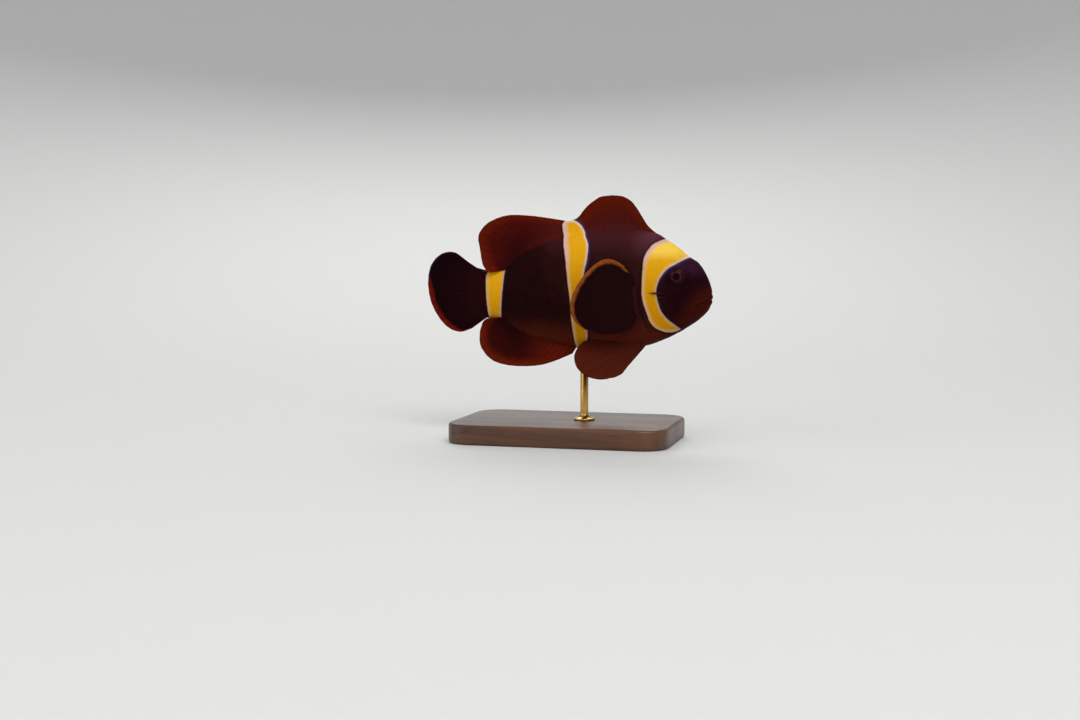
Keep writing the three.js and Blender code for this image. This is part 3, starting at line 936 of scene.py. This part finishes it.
medianFin("dorsalFinSpiny", "dorsal_fin_spiny", spinyLook, {
    "root": [onBack(26.6), onBack(18), onBack(9), onBack(2.9)],
    "margin": [(27.2, 16.2), (25.4, 17.6), (24, 18.9), (22.4, 21.4), (20.5, 24.4), (18.5, 26.6),
               (15.8, 27.7), (13, 27.85), (9.6, 27.4), (5.6, 24.7), (2.6, 21.3), (0, 20.2)],
    "rays": 10, "spines": 10, "perRay": 14, "steps": 36, "notch": 0.008, "bow": 0.5,
    "flare": 0.8, "flareReach": 0.2, "wave": 0.3, "waves": 1.2,
    "edge": lambda share: 3.2, "bands": ("middle",),
})
medianFin("dorsalFinSoft", "dorsal_fin_soft", softLook, {
    "root": [onBack(3.8), onBack(-5), onBack(-13), (-19.6, 5.6)],
    "margin": [(0.6, 20.15), (-5.8, 21.2), (-12.1, 22), (-18.6, 22.2), (-22.9, 21.3), (-26.9, 19.4),
               (-29.4, 16.1), (-28.9, 12.4), (-27.8, 9), (-26.3, 6.5), (-24, 4.8)],
    "rays": 18, "perRay": 18, "steps": 38, "bow": 0.5, "lean": 2.4,
    "flare": 0.8, "flareReach": 0.18, "wave": 0.35, "waves": 1.6,
    "edge": lambda share: 2.2 + 0.7 * smooth(0.3, 0.7, share), "bands": ("middle",),
})
medianFin("analFin", "anal_fin", analLook, {
    "root": [underBelly(3.2), underBelly(-6), underBelly(-13), (-19.6, -8.4)],
    "margin": [(1.2, -19.2), (-4.2, -21.5), (-8.9, -22.9), (-15.4, -23.4), (-20.4, -23.1), (-24.3, -22.1),
               (-27, -20.2), (-28.9, -17.4), (-29.1, -14.9), (-28.6, -12.2), (-27.3, -10.2), (-25.7, -9.2),
               (-23.7, -8.8)],
    "rays": 16, "spines": 2, "perRay": 18, "steps": 34, "notch": 0.01, "bow": 0.5,
    "lean": 2.2, "leanFrom": 0.85,
    "flare": 0.7, "flareReach": 0.2, "wave": 0.3, "waves": 1.5,
    "edge": lambda share: 2.8 - 0.4 * smooth(0.5, 0.8, share),
})
medianFin("tailFin", "tail_fin", tailLook, {
    "root": [(-25.6, onBack(body["tailRoot"])[1] + 0.7), (body["tailRoot"], -1.5),
             (-25.6, underBelly(body["tailRoot"])[1] - 0.6)],
    "margin": [(-30.2, 6.3), (-32, 6.9), (-34.6, 8.9), (-37.4, 10.8), (-40.4, 11), (-43.4, 9.8), (-46, 7),
               (-47.27, 2.6), (-47.17, -1.8), (-46.2, -5.4), (-44.2, -8.8), (-41.6, -11.5), (-38.6, -13.1),
               (-35.3, -13.5), (-31.4, -12.3)],
    "rays": 17, "perRay": 20, "steps": 46, "bow": 0,
    "flare": 1.3, "flareReach": 0.25, "wave": 0.45, "waves": 1.4,
    "edge": lambda share: 0.7 + 1.3 * smooth(0.42, 0.56, share) * (1 - 0.7 * smooth(0.8, 0.92, share)),
})

pectoral = {
    "x": 22.2, "z": -2.8, "length": 19, "swing": 0.36, "sink": 0.6, "cup": -0.8,
    "root": [(0.4, 4.3), (-0.4, -4.9)],
    "arc": {"middle": (-8.3, 1.2), "radii": (11, 10.9), "tilt": 0.05, "egg": 0.33, "start": 50, "end": 298},
    "rays": 17, "perRay": 18, "steps": 40, "flare": 0.45, "flareReach": 0.16, "wave": 0.3, "waves": 2.2,
    "edge": lambda share: 0.02 + (2.0 - 0.9 * smooth(0.1, 0.3, share)) * smooth(0, 0.04, share)
            * (1 - smooth(0.55, 0.85, share)),
}
pelvic = {
    "x": 22.8, "y": 2.3, "z": -15.1, "length": 12, "cup": 0.5, "hinge": (-0.6, 0.3),
    "right": {"splay": 0.5, "toe": 0.19, "fold": 0},
    "left": {"splay": 0.35, "toe": 0.1, "fold": 0.2},
    "root": [(1.6, 0.4), (-2.8, 0.2)],
    "arc": {"middle": (-10, -4.8), "radii": (8.8, 7.6), "tilt": 0, "egg": 0, "start": -52, "end": -222},
    "rays": 6, "spines": 1, "perRay": 26, "steps": 36, "notch": 0.012, "flare": 0.5, "flareReach": 0.16,
    "wave": 0.25, "waves": 1.3, "edge": lambda share: 1.6,
}


def pectoralPlace(sign):
    c, s = math.cos(pectoral["swing"]), math.sin(pectoral["swing"])

    def standing(flat, off):
        reach = min(-flat.x / pectoral["length"], 1)
        off = off + pectoral["cup"] * reach * abs(reach)
        return Vector((pectoral["x"] + flat.x * c - off * s * 0.4,
                       sign * (widthAt(pectoral["x"]) - pectoral["sink"] - flat.x * s + off * c),
                       pectoral["z"] + flat.y))
    return standing


def pelvicPlace(side, sign):
    pose = pelvic[side]
    c, s = math.cos(pose["splay"]), math.sin(pose["splay"])
    hinge = Vector(pelvic["hinge"])
    fold = Matrix.Rotation(-pose["fold"], 2)

    def standing(flat, off):
        off = off + pelvic["cup"] * min(-flat.y / pelvic["length"], 1) ** 2
        folded = fold @ (flat - hinge) + hinge
        return Vector((pelvic["x"] + folded.x,
                       sign * (pelvic["y"] - folded.y * s + off * c - folded.x * pose["toe"]),
                       pelvic["z"] + folded.y * c + off * s))
    return standing


for side, sign in sides.items():
    pairedFin("pectoralFin" + side.title(), "pectoral_fin_" + side, pectoralLook, pectoral,
              pectoralPlace(sign))
    pairedFin("pelvicFin" + side.title(), "pelvic_fin_" + side, pelvicLook, pelvic,
              pelvicPlace(side, sign))

# ---- the eyes ----


def eyePaint():
    # grain starts with the distance from the eye's middle, which runs over pupil, thin ring and iris
    paint = Paint("eyeball", Roughness=0.2, Specular_IOR_Level=0.03, Coat_Weight=0.015, Coat_Roughness=0.04)
    away, _, _ = paint.parts(paint.note("grain"))
    streaks = paint.noise(paint.note("place"), 2.2, 3.0)
    iris = paint.mix(streaks.step(0.35, 0.7), "22080e", "2c0b13")
    iris = paint.mix(away.step(1.9, 2.5) * 0.8, iris, "2a0e1a")
    ring = away.step(1.0, 1.2) * away.step(1.6, 1.35)
    colour = paint.mix(ring * (streaks * 0.6 + 0.5), iris, "421a24")
    colour = paint.mix(away.step(1.15, 0.95), colour, "240106")
    colour = paint.mix(away.step(0.95, 0.6), colour, "160004")
    paint.set("Base Color", colour)
    return paint.material


eyeLook = eyePaint()


def eyePiece(side, sign):
    bm = bmesh.new()
    for key in notes[:2]:
        bm.verts.layers.float_vector.new(key)
    straight, grain = (bm.verts.layers.float_vector[key] for key in notes[:2])
    bmesh.ops.create_uvsphere(bm, u_segments=eye["meridians"], v_segments=eye["parallels"],
                              radius=eye["radius"], matrix=Matrix.Rotation(math.pi / 2, 4, "X"))
    for vert in bm.verts:
        away = math.hypot(vert.co.x, vert.co.z)
        outer = vert.co.y * sign > 0
        vert[grain] = (away if outer else eye["radius"], 0, 0)
        clear = eye["cornea"] * (1 - smooth(0.4, 2.0, away)) if outer else 0
        where = Vector((eye["x"] + vert.co.x, sign * eye["y"] + vert.co.y * eye["flat"] + sign * clear,
                        eye["z"] + vert.co.z))
        vert[straight] = where
        vert.co = posed(where)
    name = "eye" + side.title()
    dress(name, welded(name, bm), eyeLook, ["eye_" + side])


for side, sign in sides.items():
    eyePiece(side, sign)

# ---- the spines on the cheeks ----

cheekSpines = {
    "long": {"x": 29.6, "z": -0.5, "length": 4.0, "thick": 0.4, "bow": -0.12},
    "short": {"x": 29.9, "z": -1.9, "length": 1.6, "thick": 0.3, "bow": 0.1},
    "flare": 0.16, "sink": 0.1, "round": 18, "steps": 20,
}


def hornPaint():
    # grain is how far along the spine a place lies, from root to tip
    paint = Paint("cheekSpine", Specular_IOR_Level=0.15, Specular_Tint=warm, Coat_Weight=0.05,
                  Coat_Roughness=0.2)
    along, _, _ = paint.parts(paint.note("grain"))
    mottle = paint.noise(paint.note("place"), 4.0, 2.0)
    paint.set("Base Color", paint.mix((along + mottle * 0.4).step(0.2, 1.1), "160a0a", "3c1d10"))
    paint.set("Roughness", mottle * 0.2 + 0.25)
    return paint.material


hornLook = hornPaint()


def cheekSpinePiece(side, sign):
    bm = None
    for spine in (cheekSpines["long"], cheekSpines["short"]):
        def place(across, up, spine=spine):
            turn = 0 if across == 1 else across * 2 * math.pi
            radius = spine["thick"] * (1 - up) ** 0.7 if 0 < up < 1 else 0
            along = up * spine["length"]
            out = widthAt(spine["x"]) + spine["thick"] - cheekSpines["sink"] + along * cheekSpines["flare"]
            where = Vector((spine["x"] - along, sign * (out + radius * math.cos(turn)),
                            spine["z"] + spine["bow"] * math.sin(math.pi * up) + radius * math.sin(turn)))
            return where, (up, 0, 0), outside
        bm = gridOf(cheekSpines["round"], cheekSpines["steps"], place, bm)
    name = "cheekSpine" + side.title()
    dress(name, welded(name, bm), hornLook, ["cheek_spine_" + side])


for side, sign in sides.items():
    cheekSpinePiece(side, sign)

# ---- the stand ----

plinth = {"length": 66.0, "width": 42.0, "height": 6.0, "corner": 7.9, "cornerSteps": 14, "bevel": 0.9,
          "bevelSteps": 5}
rod = {
    "x": 5.0,
    "radius": 1.2,
    "foot": 3.2,  # radius of the foot, its height and the height of its plain edge
    "footHeight": 2.2,
    "footEdge": 0.6,
    "inside": 8.0,  # the rod's top lies this far below the fish's axis
    "steps": 8,
    "round": 48,
}


def walnutPaint():
    paint = Paint("walnut", Specular_IOR_Level=0.4, Coat_Weight=0.18, Coat_Roughness=0.25)
    place = paint.node("ShaderNodeTexCoord").outputs["Object"]
    rings = paint.noise(paint.stretched(place, 14, 150, 150), 1.0, 5.0, 0.6, 0.8)
    pores = paint.noise(paint.stretched(place, 120, 2600, 2600), 1.0)
    colour = paint.mix(rings.step(0.34, 0.66), "2a160d", "5f3a22")
    colour = paint.mix(pores.step(0.58, 0.72) * 0.55, colour, "1a0d08")
    paint.set("Base Color", colour)
    paint.set("Roughness", pores * 0.22 + 0.3)
    paint.bumped(pores * -0.6 + rings * 0.4, 0.3, 0.00012)
    return paint.material


def brassPaint():
    paint = Paint("brass", Metallic=1.0)
    place = paint.node("ShaderNodeTexCoord").outputs["Object"]
    turned = paint.noise(paint.stretched(place, 60, 60, 3000), 1.0)
    tarnish = paint.noise(place, 320.0)
    paint.set("Base Color", paint.mix(tarnish.step(0.4, 0.75) * 0.5, "c59a52", "8a6431"))
    paint.set("Roughness", turned * 0.16 + tarnish * 0.1 + 0.16)
    paint.bumped(turned, 0.2, 0.00002)
    return paint.material


def standBase():
    bm = bmesh.new()
    bmesh.ops.create_cube(bm, size=1)
    size = Vector((plinth["length"], plinth["width"], plinth["height"])) * mm
    bmesh.ops.scale(bm, vec=size, verts=bm.verts)
    bmesh.ops.translate(bm, vec=(0, 0, size.z / 2), verts=bm.verts)
    corners = [edge for edge in bm.edges if abs(edge.verts[0].co.z - edge.verts[1].co.z) > mm]
    bmesh.ops.bevel(bm, geom=corners, offset=plinth["corner"] * mm, affect="EDGES",
                    segments=plinth["cornerSteps"], profile=0.5, material=-1)
    rims = [edge for edge in bm.edges if abs(edge.verts[0].co.z - edge.verts[1].co.z) < mm / 10]
    bmesh.ops.bevel(bm, geom=rims, offset=plinth["bevel"] * mm, affect="EDGES",
                    segments=plinth["bevelSteps"], profile=0.5, material=-1)
    dress("standBase", welded("standBase", bm), walnutPaint(), ["stand_base"])


def standRod():
    # a straight rod that widens to its foot in a hollow curve
    floor, top = plinth["height"], body["axisHeight"] - rod["inside"]
    flare, rise = rod["foot"] - rod["radius"], rod["footHeight"] - rod["footEdge"]
    profile = [(0, floor), (rod["foot"], floor), (rod["foot"], floor + rod["footEdge"])]
    for i in range(1, rod["steps"] + 1):
        turn = i / rod["steps"] * math.pi / 2
        height = floor + rod["footHeight"] - rise * math.cos(turn)
        profile.append((rod["foot"] - flare * math.sin(turn), height))
    profile += [(rod["radius"], top), (0, top)]
    bm = spun([(radius * mm, height * mm) for radius, height in profile], rod["round"])
    bmesh.ops.translate(bm, vec=(rod["x"] * mm, 0, 0), verts=bm.verts)
    dress("standRod", welded("standRod", bm), brassPaint(), ["stand_rod"])


standBase()
standRod()

# ---- camera, floor and light ----

view = {
    "azimuth": 14.0,
    "elevation": 2.0,
    "distance": 0.448,
    "lens": 50.0,
    "sensor": 36.0,
    "fishAt": (0.0262, 0.0655),  # how far right of the middle and above it, as shares of the picture's width
}


def aimCamera():
    # the camera looks beside the fish and below it, which leaves the fish up and to the right
    turn, rise = math.radians(view["azimuth"]), math.radians(view["elevation"])
    heart = Vector((0, 0, body["axisHeight"] * mm))
    back = Vector((math.sin(turn) * math.cos(rise), -math.cos(turn) * math.cos(rise), math.sin(rise)))
    eyePoint = heart + back * view["distance"]
    right = Vector((math.cos(turn), math.sin(turn), 0))
    wide = view["distance"] * view["sensor"] / view["lens"]
    aim = heart - right * wide * view["fishAt"][0] - Vector((0, 0, 1)) * wide * view["fishAt"][1]
    lens = bpy.data.cameras.new("camera")
    lens.lens = view["lens"]
    lens.sensor_width = view["sensor"]
    lens.clip_start = 0.01
    camera = bpy.data.objects.new("camera", lens)
    camera.location = eyePoint
    camera.rotation_euler = (aim - eyePoint).to_track_quat("-Z", "Y").to_euler()
    bpy.context.scene.collection.objects.link(camera)
    bpy.context.scene.camera = camera


aimCamera()

# each soft lamp's place, size and power
lamps = {
    "key": ((0.35, -0.55, 0.75), 0.6, 5.6),
    "fill": ((-0.7, -0.5, 0.35), 0.7, 2.1),
    "rim": ((-0.2, 0.6, 0.6), 0.5, 2.8),
}
studio = {"lampsAimAt": (0, 0, 0.04), "air": (0.95, 0.97, 1.0, 1), "airLight": 0.62}


def lightStudio():
    scene = bpy.context.scene
    for name, (spot, size, power) in lamps.items():
        lamp = bpy.data.lights.new(name, "AREA")
        lamp.size = size
        lamp.energy = power
        light = bpy.data.objects.new(name, lamp)
        light.location = spot
        aim = Vector(studio["lampsAimAt"]) - light.location
        light.rotation_euler = aim.to_track_quat("-Z", "Y").to_euler()
        scene.collection.objects.link(light)
    world = bpy.data.worlds.new("studio")
    world.use_nodes = True
    air = world.node_tree.nodes["Background"]
    air.inputs["Color"].default_value = studio["air"]
    air.inputs["Strength"].default_value = studio["airLight"]
    scene.world = world
    scene.view_settings.view_transform = "Standard"


lightStudio()

sweep = {"flat": 0.3, "curve": 1.3, "wall": 0.6, "steps": 24, "round": 96, "colour": "d2d2d0"}  # in metres


def floorSweep():
    # a pale round floor that rises all round in one soft curve
    far = sweep["flat"] + sweep["curve"]
    profile = [(0, 0), (sweep["flat"], 0)]
    for i in range(1, sweep["steps"] + 1):
        turn = i / sweep["steps"] * math.pi / 2
        rise = sweep["curve"] * (1 - math.cos(turn))
        profile.append((sweep["flat"] + sweep["curve"] * math.sin(turn), rise))
    profile.append((far, sweep["curve"] + sweep["wall"]))
    mesh = welded("floor", spun(profile, sweep["round"]), 1e-5)
    mesh.shade_smooth()
    paint = Paint("floor", Roughness=0.9, Specular_IOR_Level=0.1, Base_Color=shade(sweep["colour"]))
    mesh.materials.append(paint.material)
    floor = bpy.data.objects.new("floor", mesh)
    bpy.context.scene.collection.objects.link(floor)
    print("camera, lamps and floor")


floorSweep()
